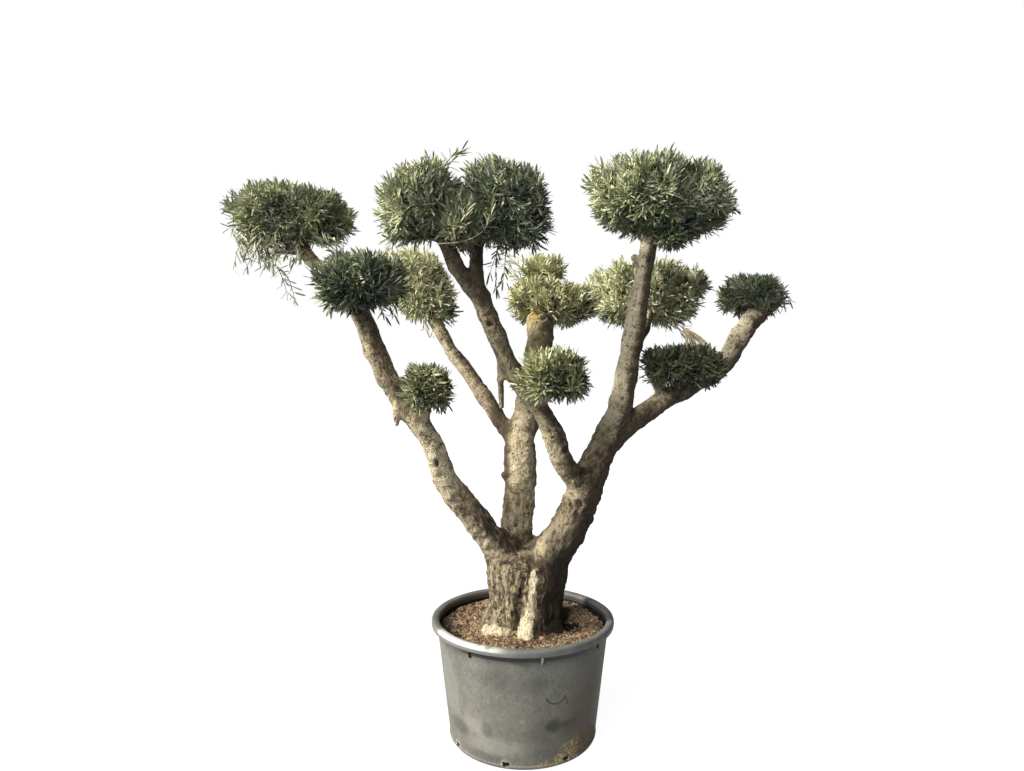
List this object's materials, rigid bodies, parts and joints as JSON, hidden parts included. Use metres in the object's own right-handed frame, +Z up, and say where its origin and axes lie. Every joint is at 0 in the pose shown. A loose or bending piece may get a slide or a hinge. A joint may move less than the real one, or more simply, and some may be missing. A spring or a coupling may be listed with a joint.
{
  "type": "cloud-pruned olive tree in a pot",
  "caption": "Cloud-pruned olive tree with a flared trunk, thick stems and rounded leaf clouds, standing in a large round nursery pot.",
  "frame": {"origin": "centre of the pot's flat underside, on the ground", "axes": "+Z up along the pot's axis, -Y towards the viewer of the picture, +X to the viewer's right"},
  "size_m": [3.3231, 1.4483, 3.1388],
  "materials": {
    "pot": "weathered, matte",
    "soil": "rough, crumbly",
    "bark": "rough, fissured",
    "foliage": "leathery, matte"
  },
  "bodies": {
    "root": {"pot": "pot", "soil": "soil", "trunk": "bark", "stem_right": "bark", "stem_left": "bark", "stem_centre": "bark", "bough_front": "bark", "bough_front_left": "bark", "bough_front_right": "bark", "bough_left_high": "bark", "bough_back_left": "bark", "bough_right": "bark", "bough_right_outer": "bark", "bough_right_back": "bark", "spur_left_low": "bark", "spur_front_centre": "bark", "spur_right_low": "bark", "stub_left": "bark", "stub_centre": "bark", "foliage_top_right": "foliage", "foliage_top_left": "foliage", "foliage_top_middle": "foliage", "foliage_left_high": "foliage", "foliage_left_hanging": "foliage", "foliage_left_mid": "foliage", "foliage_back_left": "foliage", "foliage_back_centre": "foliage", "foliage_back_right": "foliage", "foliage_far_right": "foliage", "foliage_right_low": "foliage", "foliage_front_centre": "foliage", "foliage_left_low": "foliage"}
  },
  "joints": []
}
